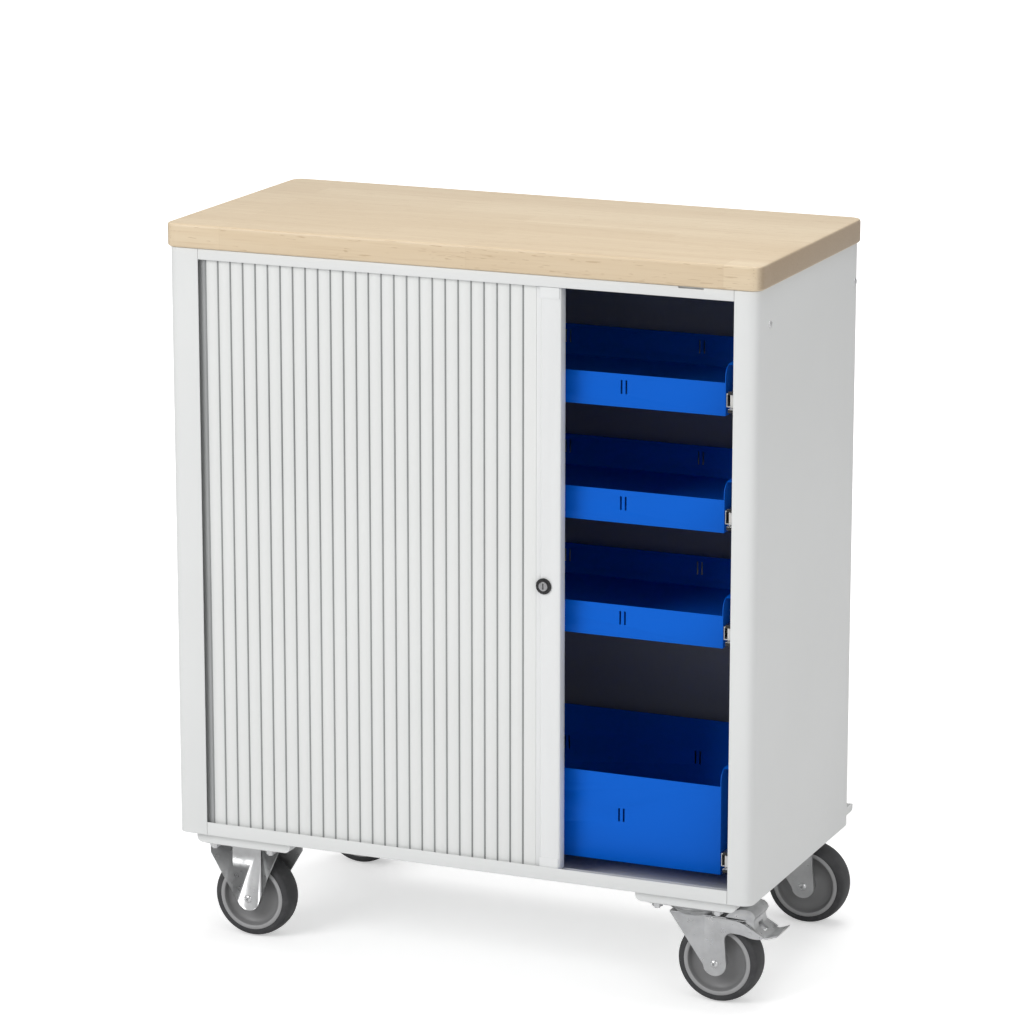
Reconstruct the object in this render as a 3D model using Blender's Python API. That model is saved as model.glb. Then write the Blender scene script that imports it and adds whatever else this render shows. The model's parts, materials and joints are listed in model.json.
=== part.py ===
"""Tool cart with a sideways roller shutter, four sliding trays and a beech worktop.

Metres, X to the right, Y to the back, Z up. The origin lies on the floor under the
middle of the whole cart. Shapes are drawn about the cabinet's centre, and the parent
empty "cart" carries them to their place.
"""

import math

import bmesh
import bpy
from mathutils import Matrix, Vector

# Gaps that every fit uses
FIT_GAP = 0.0003
RUN_GAP = 0.0005
CUT_OVERRUN = 0.010

# Cabinet shell
BODY_WIDTH = 0.730
BODY_DEPTH = 0.346
BODY_HEIGHT = 0.711
BODY_CORNER = 0.013
SHEET = 0.0012
LEFT_POST_WIDTH = 0.039
RIGHT_POST_WIDTH = 0.029
RIGHT_POST_RETURN = 0.013
BACK_FLANGE_WIDTH = 0.026
SILL_HEIGHT = 0.016
HEADER_HEIGHT = 0.0125
CORNER_STEPS = 5

# Worktop
WORKTOP_THICKNESS = 0.028
WORKTOP_OVERHANG = 0.003
WORKTOP_CORNER = 0.014
WORKTOP_EDGE = 0.003

# Walls inside the shell, from its outer faces
LEFT_STORE_WIDTH = 0.0833
RUNNER_WALL_INSET = 0.0348
INNER_FRONT_SETBACK = 0.023
BACK_STORE_DEPTH = 0.026
INNER_FLANGE = 0.012

# Shutter track: centre line from the shell's outer faces, and section
TRACK_FRONT_SETBACK = 0.009
TRACK_BACK_SETBACK = 0.0125
TRACK_SIDE_SETBACK = 0.0095
TRACK_CORNER = 0.038
TRACK_BACK_RUN = 0.320
TRACK_HEIGHT = 0.012
TRACK_WALL = 0.0015
TRACK_CORNER_STEPS = 8

# Shutter curtain and its leading rail
CURTAIN_THICKNESS = 0.008
CURTAIN_LENGTH = 0.670
SLAT_PITCH = 0.016
SLAT_GROOVE_WIDTH = 0.0024
SLAT_GROOVE_DEPTH = 0.0014
SHUTTER_OPENING = 0.207
RAIL_WIDTH = 0.031
RAIL_DEPTH = 0.013
RAIL_STEP_WIDTH = 0.0055
RAIL_STEP_DEPTH = 0.0025
RAIL_EDGE = 0.002
RAIL_BACK_CHANNEL = 0.007
RAIL_CAP_HEIGHT = 0.013
RAIL_CAP_RAISE = 0.001
RAIL_CAP_INSET = 0.006

# Cylinder lock in the rail
LOCK_HEIGHT = 0.351
LOCK_INSET = 0.0105
LOCK_BEZEL_RADIUS = 0.0095
LOCK_BEZEL_RAISE = 0.0015
LOCK_BARREL_RADIUS = 0.0075
LOCK_CORE_RADIUS = 0.0055
LOCK_CORE_RAISE = 0.001
LOCK_CAM_LENGTH = 0.014
LOCK_CAM_THICKNESS = 0.002
KEYWAY_WIDTH = 0.0016
KEYWAY_LENGTH = 0.007
KEYWAY_DEPTH = 0.003

# Trays and their runners
TRAY_SETBACK = 0.030
TRAY_BACK_GAP = 0.040
TRAY_SHEET = 0.001
TRAY_PITCH = 0.1345
TRAY_HEAD_ROOM = 0.1495
DEEP_TRAY_Z = 0.024
SHALLOW_FRONT_HEIGHT = 0.038
DEEP_FRONT_HEIGHT = 0.105
TRAY_SIDE_RISE = 0.020
TRAY_SIDE_ROUND = 0.014
TRAY_SIDE_FLANGE = 0.006
RUNNER_SPACE = 0.0137
RUNNER_HEIGHT = 0.019
RUNNER_RAISE = 0.0085
RUNNER_BACK_GAP = 0.047
RUNNER_LIP = 0.008
RUNNER_SHEET = 0.0012

# Channels that carry the casters
CHANNEL_HEIGHT = 0.013
CHANNEL_WIDTH = 0.123
CHANNEL_INSET = 0.083
CHANNEL_FRONT_SETBACK = 0.008
CHANNEL_SHEET = 0.002
CHANNEL_CORNER = 0.007

# Casters
CASTER_HEIGHT = 0.125
CASTER_FRONT_SETBACK = 0.064
CASTER_REAR_OVERHANG = 0.024
FIXED_CASTER_INSET = 0.073
SWIVEL_CASTER_INSET = 0.087
SWIVEL_TRAIL = 0.029
PLATE_SIZE = 0.100
PLATE_SHEET = 0.0025
PLATE_CORNER = 0.010
PLATE_SLOT_WIDTH = 0.009
PLATE_SLOT_LENGTH = 0.016
PLATE_SLOT_INSET = 0.013
FORK_WIDTH = 0.048
FORK_SHEET = 0.0025
FORK_FOOT_RADIUS = 0.0165
FORK_RIB_WIDTH = 0.005
FORK_RIB_RAISE = 0.001
FIXED_FORK_HALF_WIDTH = 0.047

# Swivel head between plate and fork
HEAD_RADIUS = 0.038
HEAD_CUP_HEIGHT = 0.007
HEAD_DISH_HEIGHT = 0.0075
HEAD_TAPER = 0.005
KINGPIN_RADIUS = 0.006
KINGPIN_HEAD_RADIUS = 0.010
KINGPIN_HEAD_HEIGHT = 0.004

# Side plate of a swivel fork, about the swivel axis and the axle's height
FORK_NOSE = 0.027
FORK_TAIL = 0.088
BRAKE_PIVOT_X = 0.072
BRAKE_PIVOT_RISE = 0.042

# Brake pedal
PEDAL_SHEET = 0.0025
PEDAL_WIDTH = 0.042
PEDAL_REACH = 0.118
PEDAL_RISE = 0.066
PEDAL_PIN_RADIUS = 0.0025

# Wheels
WHEEL_RADIUS = 0.050
WHEEL_WIDTH = 0.032
TREAD_SHOULDER = 0.006
RIM_RADIUS = 0.0405
RIM_WALL = 0.005
WEB_HALF_WIDTH = 0.006
HUB_RADIUS = 0.012
AXLE_RADIUS = 0.005
AXLE_HEAD_RADIUS = 0.009
AXLE_HEAD_HEIGHT = 0.003
WHEEL_STEPS = 32
PIN_STEPS = 16

# Heights above the floor and places that follow from the sizes above
BODY_BASE = CASTER_HEIGHT + CHANNEL_HEIGHT
BODY_TOP = BODY_BASE + BODY_HEIGHT
BODY_HALF_WIDTH = BODY_WIDTH / 2
BODY_HALF_DEPTH = BODY_DEPTH / 2
INNER_BASE = BODY_BASE + SHEET + FIT_GAP
INNER_TOP = BODY_TOP - SHEET - FIT_GAP
OPENING_LEFT_X = -BODY_HALF_WIDTH + LEFT_POST_WIDTH
OPENING_RIGHT_X = BODY_HALF_WIDTH - RIGHT_POST_WIDTH
INNER_LEFT_X = -BODY_HALF_WIDTH + LEFT_STORE_WIDTH
INNER_RIGHT_X = BODY_HALF_WIDTH - RUNNER_WALL_INSET
INNER_FRONT_Y = -BODY_HALF_DEPTH + INNER_FRONT_SETBACK
INNER_BACK_Y = BODY_HALF_DEPTH - BACK_STORE_DEPTH
TRACK_FRONT_Y = -BODY_HALF_DEPTH + TRACK_FRONT_SETBACK
TRACK_BACK_Y = BODY_HALF_DEPTH - TRACK_BACK_SETBACK
TRACK_LEFT_X = -BODY_HALF_WIDTH + TRACK_SIDE_SETBACK
TRACK_RIGHT_X = OPENING_RIGHT_X - FIT_GAP
RAIL_LEFT_X = OPENING_RIGHT_X - SHUTTER_OPENING - RAIL_WIDTH
TRACK_HALF_GROOVE = CURTAIN_THICKNESS / 2 + RUN_GAP
TRACK_HALF_WIDTH = TRACK_HALF_GROOVE + TRACK_WALL
CHANNEL_X = BODY_HALF_WIDTH - CHANNEL_INSET
CHANNEL_FRONT_Y = -BODY_HALF_DEPTH + CHANNEL_FRONT_SETBACK
CASTER_FRONT_Y = -BODY_HALF_DEPTH + CASTER_FRONT_SETBACK
CASTER_REAR_Y = BODY_HALF_DEPTH + CASTER_REAR_OVERHANG
CHANNEL_REAR_Y = CASTER_REAR_Y + PLATE_SIZE / 2 + FORK_SHEET
FIXED_CASTER_X = -BODY_HALF_WIDTH + FIXED_CASTER_INSET
SWIVEL_CASTER_X = BODY_HALF_WIDTH - SWIVEL_CASTER_INSET
AXLE_HEIGHT = WHEEL_RADIUS
LOCK_X = RAIL_LEFT_X + LOCK_INSET
TRAY_LEFT_X = INNER_LEFT_X + RUNNER_SPACE
TRAY_RIGHT_X = INNER_RIGHT_X - RUNNER_SPACE
TRAY_FRONT_Y = -BODY_HALF_DEPTH + TRAY_SETBACK
TRAY_DEPTH = INNER_BACK_Y - TRAY_FRONT_Y - TRAY_BACK_GAP
RUNNER_BACK_Y = INNER_BACK_Y - RUNNER_BACK_GAP
UPPER_TRAY_Z = BODY_HEIGHT - TRAY_HEAD_ROOM

# The cabinet stands off the origin, so that the whole cart's box is centred on it
CART_LEFT_REACH = BODY_HALF_WIDTH + WORKTOP_OVERHANG
CART_RIGHT_REACH = SWIVEL_CASTER_X + PEDAL_REACH
CART_FRONT_REACH = BODY_HALF_DEPTH + WORKTOP_OVERHANG
CART_X = (CART_LEFT_REACH - CART_RIGHT_REACH) / 2
CART_Y = (CART_FRONT_REACH - CHANNEL_REAR_Y) / 2

# Trays by name, bottom height over the cabinet's base and front height
TRAYS = (
    ("upper", UPPER_TRAY_Z, SHALLOW_FRONT_HEIGHT),
    ("middle", UPPER_TRAY_Z - TRAY_PITCH, SHALLOW_FRONT_HEIGHT),
    ("lower", UPPER_TRAY_Z - 2 * TRAY_PITCH, SHALLOW_FRONT_HEIGHT),
    ("deep", DEEP_TRAY_Z, DEEP_FRONT_HEIGHT),
)

# Finishes: colour, roughness, metallic
FINISHES = {
    "white_enamel": ((0.80, 0.81, 0.80), 0.35, 0.0),
    "slat_white": ((0.83, 0.84, 0.83), 0.40, 0.0),
    "beech": ((0.70, 0.58, 0.42), 0.45, 0.0),
    "blue_enamel": ((0.01, 0.16, 0.60), 0.35, 0.0),
    "zinc": ((0.62, 0.63, 0.64), 0.35, 1.0),
    "rail_white": ((0.86, 0.87, 0.87), 0.35, 0.0),
    "black_lock": ((0.02, 0.02, 0.02), 0.30, 0.0),
    "lock_steel": ((0.55, 0.55, 0.56), 0.30, 1.0),
    "hub_grey": ((0.17, 0.17, 0.18), 0.50, 0.0),
    "tyre_grey": ((0.05, 0.05, 0.055), 0.65, 0.0),
    "track_grey": ((0.45, 0.47, 0.49), 0.45, 0.0),
}


# Scene helpers

def clear_scene():
    for item in list(bpy.data.objects):
        bpy.data.objects.remove(item, do_unlink=True)


def finish(name):
    """Material of the given name, made the first time it is asked for."""
    if name in bpy.data.materials:
        return bpy.data.materials[name]
    colour, roughness, metallic = FINISHES[name]
    material = bpy.data.materials.new(name)
    material.use_nodes = True
    shader = material.node_tree.nodes["Principled BSDF"]
    shader.inputs["Base Color"].default_value = (*colour, 1.0)
    shader.inputs["Roughness"].default_value = roughness
    shader.inputs["Metallic"].default_value = metallic
    material.diffuse_color = (*colour, 1.0)
    return material


def pivot(name, parent, place):
    """Empty on a joint's axis, at a place given about its parent."""
    empty = bpy.data.objects.new(name, None)
    bpy.context.scene.collection.objects.link(empty)
    empty.parent = parent
    empty.location = place
    return empty


def piece(name, bm, surface, parent, smooth_angle=None):
    """Turn a bmesh into a named object under its parent."""
    mesh = bpy.data.meshes.new(name)
    bmesh.ops.recalc_face_normals(bm, faces=bm.faces)
    bm.to_mesh(mesh)
    bm.free()
    item = bpy.data.objects.new(name, mesh)
    bpy.context.scene.collection.objects.link(item)
    item.parent = parent
    mesh.materials.append(finish(surface))
    if smooth_angle is not None:
        mesh.shade_smooth()
        mesh.set_sharp_from_angle(angle=math.radians(smooth_angle))
    return item


def combined(first, second, operation):
    """Boolean of two bmeshes, which it frees."""
    items = []
    for bm in (first, second):
        mesh = bpy.data.meshes.new("operand")
        bmesh.ops.recalc_face_normals(bm, faces=bm.faces)
        bm.to_mesh(mesh)
        bm.free()
        items.append(bpy.data.objects.new("operand", mesh))
        bpy.context.scene.collection.objects.link(items[-1])
    modifier = items[0].modifiers.new("combine", "BOOLEAN")
    modifier.operation = operation
    modifier.solver = "EXACT"
    modifier.object = items[1]
    bpy.context.view_layer.update()
    evaluated = items[0].evaluated_get(bpy.context.evaluated_depsgraph_get())
    result = bmesh.new()
    result.from_mesh(evaluated.to_mesh())
    for item in items:
        bpy.data.objects.remove(item, do_unlink=True)
    return result


def joined(first, second):
    return combined(first, second, "UNION")


def cut(body, tool):
    return combined(body, tool, "DIFFERENCE")


# Shape helpers

def arc(centre, radius, start, end, steps):
    """Points on an arc in degrees, both ends included."""
    angles = [math.radians(start + (end - start) * step / steps) for step in range(steps + 1)]
    return [(centre[0] + radius * math.cos(a), centre[1] + radius * math.sin(a)) for a in angles]


def rounded_rectangle(low, high, radius, steps=CORNER_STEPS):
    """Outline between two opposite corners, with its four corners rounded."""
    points = []
    points += arc((high[0] - radius, high[1] - radius), radius, 0, 90, steps)
    points += arc((low[0] + radius, high[1] - radius), radius, 90, 180, steps)
    points += arc((low[0] + radius, low[1] + radius), radius, 180, 270, steps)
    points += arc((high[0] - radius, low[1] + radius), radius, 270, 360, steps)
    return points


def rectangle(low, high):
    return [(low[0], low[1]), (high[0], low[1]), (high[0], high[1]), (low[0], high[1])]


def sheet_outline(path, thickness):
    """Closed outline of a bent sheet: a path and its parallel on the left side."""
    parallel = []
    for index, point in enumerate(path):
        here = Vector(point)
        before = here - Vector(path[index - 1]) if index else None
        after = Vector(path[index + 1]) - here if index < len(path) - 1 else None
        before = (before or after).normalized()
        after = (after or before).normalized()
        left = Vector((-after.y, after.x))
        normal = (left + Vector((-before.y, before.x))).normalized()
        parallel.append(tuple(here + normal * thickness / normal.dot(left)))
    return list(path) + parallel[::-1]


def on_axes(axis, u, v, along):
    """A plan point and its height along the axis, in X, Y, Z order."""
    if axis == "X":
        return (along, u, v)
    if axis == "Y":
        return (u, along, v)
    return (u, v, along)


def prism(outline, axis, low, high):
    """Outline, drawn in the two other axes, extruded from low to high along an axis."""
    bm = bmesh.new()
    face = bm.faces.new([bm.verts.new(on_axes(axis, u, v, low)) for u, v in outline])
    extruded = bmesh.ops.extrude_face_region(bm, geom=[face])["geom"]
    moved = [item for item in extruded if isinstance(item, bmesh.types.BMVert)]
    bmesh.ops.translate(bm, verts=moved, vec=on_axes(axis, 0.0, 0.0, high - low))
    bmesh.ops.recalc_face_normals(bm, faces=bm.faces)
    return bm


def box(low, high):
    return prism(rectangle(low[:2], high[:2]), "Z", low[2], high[2])


def turned(profile, axis, steps, closed=True):
    """Profile of (radius, height) points spun about an axis through the origin.

    An open profile starts and ends on the axis.
    """
    bm = bmesh.new()
    points = [bm.verts.new((radius, 0.0, height)) for radius, height in profile]
    first = 0 if closed else 1
    edges = [bm.edges.new((points[i - 1], points[i])) for i in range(first, len(points))]
    bmesh.ops.spin(bm, geom=points + edges, cent=(0.0, 0.0, 0.0), axis=(0.0, 0.0, 1.0),
                   angle=math.tau, steps=steps, use_merge=True)
    bmesh.ops.remove_doubles(bm, verts=bm.verts, dist=FIT_GAP / 10)
    if axis == "Y":
        turn = Matrix.Rotation(-math.pi / 2, 3, "X")
        bmesh.ops.rotate(bm, verts=bm.verts, cent=(0.0, 0.0, 0.0), matrix=turn)
    bmesh.ops.recalc_face_normals(bm, faces=bm.faces)
    return bm


def moved(bm, shift):
    bmesh.ops.translate(bm, verts=bm.verts, vec=shift)
    return bm


def bend_down(bm, limit_y, drop):
    """Extrude the strip of a plate in front of limit_y along Z, as a bent edge."""
    side = 1.0 if drop > 0 else -1.0
    bmesh.ops.bisect_plane(bm, geom=bm.verts[:] + bm.edges[:] + bm.faces[:],
                           plane_co=(0.0, limit_y, 0.0), plane_no=(0.0, 1.0, 0.0))
    picked = [face for face in bm.faces
              if face.normal.z * side > 0.5 and face.calc_center_median().y < limit_y]
    extruded = bmesh.ops.extrude_face_region(bm, geom=picked)["geom"]
    strip = [item for item in extruded if isinstance(item, bmesh.types.BMVert)]
    bmesh.ops.translate(bm, verts=strip, vec=(0.0, 0.0, drop))
    bmesh.ops.delete(bm, geom=picked, context="FACES_ONLY")
    return bm


# Cabinet shell

def side_panel(name, side, post_width, post_return, parent):
    """Bent side sheet with its front post, rounded corners and back flange."""
    half = BODY_HALF_WIDTH
    corner_x = -half + BODY_CORNER
    corner_y = BODY_HALF_DEPTH - BODY_CORNER
    path = [(-half + BACK_FLANGE_WIDTH, BODY_HALF_DEPTH)]
    path += arc((corner_x, corner_y), BODY_CORNER, 90, 180, CORNER_STEPS)
    path += arc((corner_x, -corner_y), BODY_CORNER, 180, 270, CORNER_STEPS)
    path.append((-half + post_width, -BODY_HALF_DEPTH))
    if post_return:
        path.append((-half + post_width, -BODY_HALF_DEPTH + post_return))
    outline = [(side * x, y) for x, y in sheet_outline(path, SHEET)]
    return piece(name, prism(outline, "Z", BODY_BASE, BODY_TOP), "white_enamel", parent, 30)


def plate_outline():
    """Plan of the floor and top plates: full width behind the posts' corners."""
    side = BODY_HALF_WIDTH - SHEET - FIT_GAP
    wing_front = -BODY_HALF_DEPTH + BODY_CORNER + RIGHT_POST_RETURN
    back = BODY_HALF_DEPTH - BODY_CORNER
    front = -BODY_HALF_DEPTH
    left = OPENING_LEFT_X + FIT_GAP
    right = OPENING_RIGHT_X - FIT_GAP
    return [(left, front), (right, front), (right, wing_front), (side, wing_front),
            (side, back), (-side, back), (-side, wing_front), (left, wing_front)]


def flanged_plate(name, plate_low, drop, parent):
    """Floor or top plate, with its front edge bent to the sill or the header."""
    plate = prism(plate_outline(), "Z", plate_low, plate_low + SHEET)
    plate = bend_down(plate, -BODY_HALF_DEPTH + SHEET, drop)
    return piece(name, plate, "white_enamel", parent)


def back_panel(parent):
    half = BODY_HALF_WIDTH - BODY_CORNER
    outer = BODY_HALF_DEPTH - SHEET - FIT_GAP
    sheet = box((-half, outer - SHEET, INNER_BASE), (half, outer, INNER_TOP))
    return piece("back_panel", sheet, "white_enamel", parent)


def worktop(parent):
    half_x = BODY_HALF_WIDTH + WORKTOP_OVERHANG
    half_y = BODY_HALF_DEPTH + WORKTOP_OVERHANG
    outline = rounded_rectangle((-half_x, -half_y), (half_x, half_y), WORKTOP_CORNER)
    low = BODY_TOP + FIT_GAP
    board = prism(outline, "Z", low, low + WORKTOP_THICKNESS)
    item = piece("worktop", board, "beech", parent, 40)
    edge = item.modifiers.new("rounded_edge", "BEVEL")
    edge.width = WORKTOP_EDGE
    edge.segments = 3
    edge.limit_method = "ANGLE"
    edge.angle_limit = math.radians(60)
    return item


def inner_walls(parent):
    """Sheets that close off the shutter's store and carry the runners."""
    left_path = [(INNER_LEFT_X - INNER_FLANGE, INNER_BASE), (INNER_LEFT_X, INNER_BASE),
                 (INNER_LEFT_X, INNER_TOP), (INNER_LEFT_X - INNER_FLANGE, INNER_TOP)]
    left = prism(sheet_outline(left_path, SHEET), "Y", INNER_FRONT_Y, INNER_BACK_Y)
    piece("inner_wall_left", left, "white_enamel", parent)

    far_x = BODY_HALF_WIDTH - SHEET - FIT_GAP
    right_path = [(far_x, INNER_BACK_Y), (INNER_RIGHT_X, INNER_BACK_Y),
                  (INNER_RIGHT_X, INNER_FRONT_Y), (far_x, INNER_FRONT_Y)]
    right = prism(sheet_outline(right_path, SHEET), "Z", INNER_BASE, INNER_TOP)
    piece("inner_wall_right", right, "white_enamel", parent)

    back_face = INNER_BACK_Y + FIT_GAP
    back_path = [(back_face - INNER_FLANGE, INNER_BASE), (back_face + SHEET, INNER_BASE),
                 (back_face + SHEET, INNER_TOP), (back_face - INNER_FLANGE, INNER_TOP)]
    left_end = INNER_LEFT_X + FIT_GAP
    right_end = INNER_RIGHT_X - FIT_GAP
    back = prism(sheet_outline(back_path, SHEET), "X", left_end, right_end)
    piece("inner_wall_back", back, "white_enamel", parent)


# Shutter

def track_point(distance, offset):
    """Plan point at a distance along the track from its right end.

    The track runs along the front, round the left front corner, along the left side,
    round the rear corner and along the back. The offset points out of the cabinet.
    """
    quarter = TRACK_CORNER * math.pi / 2
    corner_x = TRACK_LEFT_X + TRACK_CORNER
    front = TRACK_RIGHT_X - corner_x
    side = TRACK_BACK_Y - TRACK_FRONT_Y - 2 * TRACK_CORNER
    reach = TRACK_CORNER + offset
    if distance <= front:
        return (TRACK_RIGHT_X - distance, TRACK_FRONT_Y - offset)
    distance -= front
    if distance <= quarter:
        turn = distance / TRACK_CORNER
        corner_y = TRACK_FRONT_Y + TRACK_CORNER
        return (corner_x - reach * math.sin(turn), corner_y - reach * math.cos(turn))
    distance -= quarter
    if distance <= side:
        return (TRACK_LEFT_X - offset, TRACK_FRONT_Y + TRACK_CORNER + distance)
    distance -= side
    corner_y = TRACK_BACK_Y - TRACK_CORNER
    if distance <= quarter:
        turn = distance / TRACK_CORNER
        return (corner_x - reach * math.cos(turn), corner_y + reach * math.sin(turn))
    return (corner_x + distance - quarter, TRACK_BACK_Y + offset)


def track_stations():
    """Distances along the track: the ends of straights, and steps round the corners."""
    quarter = TRACK_CORNER * math.pi / 2
    front = TRACK_RIGHT_X - TRACK_LEFT_X - TRACK_CORNER
    side = TRACK_BACK_Y - TRACK_FRONT_Y - 2 * TRACK_CORNER
    steps = [quarter * step / TRACK_CORNER_STEPS for step in range(TRACK_CORNER_STEPS + 1)]
    first = [front + step for step in steps]
    second = [front + quarter + side + step for step in steps]
    return [0.0] + first + second + [second[-1] + TRACK_BACK_RUN]


def swept_track(section):
    """Closed (offset, height) section carried along the track."""
    bm = bmesh.new()
    rings = []
    for station in track_stations():
        ring = [bm.verts.new((*track_point(station, offset), height)) for offset, height in section]
        rings.append(ring)
    count = len(section)
    for near, far in zip(rings, rings[1:]):
        for i in range(count):
            j = (i + 1) % count
            bm.faces.new((near[i], near[j], far[j], far[i]))
    bm.faces.new(rings[0])
    bm.faces.new(rings[-1])
    return bm


def track_section(seat, mouth):
    """U section from its seat to its open mouth, which may lie above or below."""
    wall = TRACK_WALL if mouth > seat else -TRACK_WALL
    return [(-TRACK_HALF_WIDTH, seat), (TRACK_HALF_WIDTH, seat), (TRACK_HALF_WIDTH, mouth),
            (TRACK_HALF_GROOVE, mouth), (TRACK_HALF_GROOVE, seat + wall),
            (-TRACK_HALF_GROOVE, seat + wall), (-TRACK_HALF_GROOVE, mouth),
            (-TRACK_HALF_WIDTH, mouth)]


def shutter_tracks(parent):
    lower_mouth = INNER_BASE + TRACK_HEIGHT
    upper_mouth = BODY_TOP - HEADER_HEIGHT
    lower = swept_track(track_section(INNER_BASE, lower_mouth))
    upper = swept_track(track_section(INNER_TOP, upper_mouth))
    piece("shutter_track_lower", lower, "track_grey", parent, 30)
    piece("shutter_track_upper", upper, "track_grey", parent, 30)


def shutter_heights():
    """Bottom and top of what runs in the two grooves."""
    return INNER_BASE + TRACK_WALL + RUN_GAP, INNER_TOP - TRACK_WALL - RUN_GAP


def curtain(parent, origin):
    """Slatted curtain from the rail round the corner into its store."""
    start = TRACK_RIGHT_X - RAIL_LEFT_X + FIT_GAP
    half = CURTAIN_THICKNESS / 2
    outer = [track_point(start, half)]
    groove = start
    while groove + SLAT_PITCH < start + CURTAIN_LENGTH:
        groove += SLAT_PITCH
        outer.append(track_point(groove - SLAT_GROOVE_WIDTH / 2, half))
        outer.append(track_point(groove, half - SLAT_GROOVE_DEPTH))
        outer.append(track_point(groove + SLAT_GROOVE_WIDTH / 2, half))
    end = start + CURTAIN_LENGTH
    outer.append(track_point(end, half))
    bends = [station for station in track_stations() if start < station < end]
    inner = [track_point(station, -half) for station in [start] + bends + [end]]
    low, high = shutter_heights()
    bm = prism(outer + inner[::-1], "Z", low, high)
    return piece("shutter_curtain", moved(bm, -origin), "slat_white", parent, 20)


def shutter_rail(parent, origin):
    """Leading rail with its stepped face, open back, end caps and guide tongues."""
    left = RAIL_LEFT_X
    right = RAIL_LEFT_X + RAIL_WIDTH
    front = TRACK_FRONT_Y - RAIL_DEPTH / 2
    back = TRACK_FRONT_Y + RAIL_DEPTH / 2
    step_x = left + RAIL_STEP_WIDTH
    step_y = front + RAIL_STEP_DEPTH
    channel = (RAIL_WIDTH - RAIL_BACK_CHANNEL) / 2
    low = INNER_BASE + TRACK_HEIGHT + RUN_GAP
    high = BODY_TOP - HEADER_HEIGHT - RUN_GAP
    outline = [(left, back), (left, step_y), (step_x, step_y), (step_x, front + RAIL_EDGE),
               (step_x + RAIL_EDGE, front)]
    outline += arc((right - RAIL_EDGE, front + RAIL_EDGE), RAIL_EDGE, 270, 360, 2)
    outline += [(right, back), (right - channel, back),
                (right - channel, back - RAIL_BACK_CHANNEL / 2),
                (left + channel, back - RAIL_BACK_CHANNEL / 2), (left + channel, back)]
    bm = prism(outline, "Z", low, high)

    tongue_low, tongue_high = shutter_heights()
    tongue_y = CURTAIN_THICKNESS / 2 - RUN_GAP
    tongue = box((left + RAIL_EDGE, TRACK_FRONT_Y - tongue_y, tongue_low),
                 (right - RAIL_EDGE, TRACK_FRONT_Y + tongue_y, tongue_high))
    bm = joined(bm, tongue)
    for cap_low in (low, high - RAIL_CAP_HEIGHT):
        cap = box((left + RAIL_CAP_INSET, front - RAIL_CAP_RAISE, cap_low),
                  (right - RAIL_EDGE, front + RAIL_STEP_DEPTH, cap_low + RAIL_CAP_HEIGHT))
        bm = joined(bm, cap)
    hole = turned([(0.0, front - CUT_OVERRUN), (LOCK_BARREL_RADIUS + FIT_GAP, front - CUT_OVERRUN),
                   (LOCK_BARREL_RADIUS + FIT_GAP, back + CUT_OVERRUN), (0.0, back + CUT_OVERRUN)],
                  "Y", PIN_STEPS, closed=False)
    bm = cut(bm, moved(hole, (LOCK_X, 0.0, BODY_BASE + LOCK_HEIGHT)))
    return piece("shutter_rail", moved(bm, -origin), "rail_white", parent, 30)


def lock(rail_parent, core_parent, origin):
    """Lock barrel fixed in the rail, and the core that turns in it with its cam."""
    face = TRACK_FRONT_Y - RAIL_DEPTH / 2
    back = TRACK_FRONT_Y + RAIL_DEPTH / 2
    bezel_back = face - FIT_GAP
    bore = LOCK_CORE_RADIUS + FIT_GAP
    bezel_front = bezel_back - LOCK_BEZEL_RAISE
    barrel = turned([(bore, bezel_front), (LOCK_BEZEL_RADIUS, bezel_front),
                     (LOCK_BEZEL_RADIUS, bezel_back), (LOCK_BARREL_RADIUS, bezel_back),
                     (LOCK_BARREL_RADIUS, back), (bore, back)], "Y", PIN_STEPS)
    place = Vector((LOCK_X, 0.0, BODY_BASE + LOCK_HEIGHT))
    piece("lock_barrel", moved(barrel, place - origin), "black_lock", rail_parent, 30)

    core_front = bezel_front - LOCK_CORE_RAISE
    core_back = back + FIT_GAP
    core = turned([(0.0, core_front), (LOCK_CORE_RADIUS, core_front),
                   (LOCK_CORE_RADIUS, core_back + LOCK_CAM_THICKNESS),
                   (0.0, core_back + LOCK_CAM_THICKNESS)], "Y", PIN_STEPS, closed=False)
    cam_half = LOCK_CORE_RADIUS - FIT_GAP
    cam = rounded_rectangle((-cam_half, -LOCK_CAM_LENGTH), (cam_half, cam_half), cam_half / 2, 3)
    core = joined(core, prism(cam, "Y", core_back, core_back + LOCK_CAM_THICKNESS))
    keyway = box((-KEYWAY_WIDTH / 2, core_front - CUT_OVERRUN, -KEYWAY_LENGTH / 2),
                 (KEYWAY_WIDTH / 2, core_front + KEYWAY_DEPTH, KEYWAY_LENGTH / 2))
    core = cut(core, keyway)
    core = moved(core, (0.0, -TRACK_FRONT_Y, 0.0))
    piece("lock_core", core, "lock_steel", core_parent, 30)


def shutter(cart):
    origin = Vector((RAIL_LEFT_X + RAIL_WIDTH / 2, TRACK_FRONT_Y, BODY_BASE))
    slide = pivot("shutter_slide", cart, origin)
    curtain(slide, origin)
    shutter_rail(slide, origin)
    core_place = Vector((LOCK_X, TRACK_FRONT_Y, BODY_BASE + LOCK_HEIGHT)) - origin
    core_pivot = pivot("lock_pivot", slide, core_place)
    lock(slide, core_pivot, origin)


# Trays and runners

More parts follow.
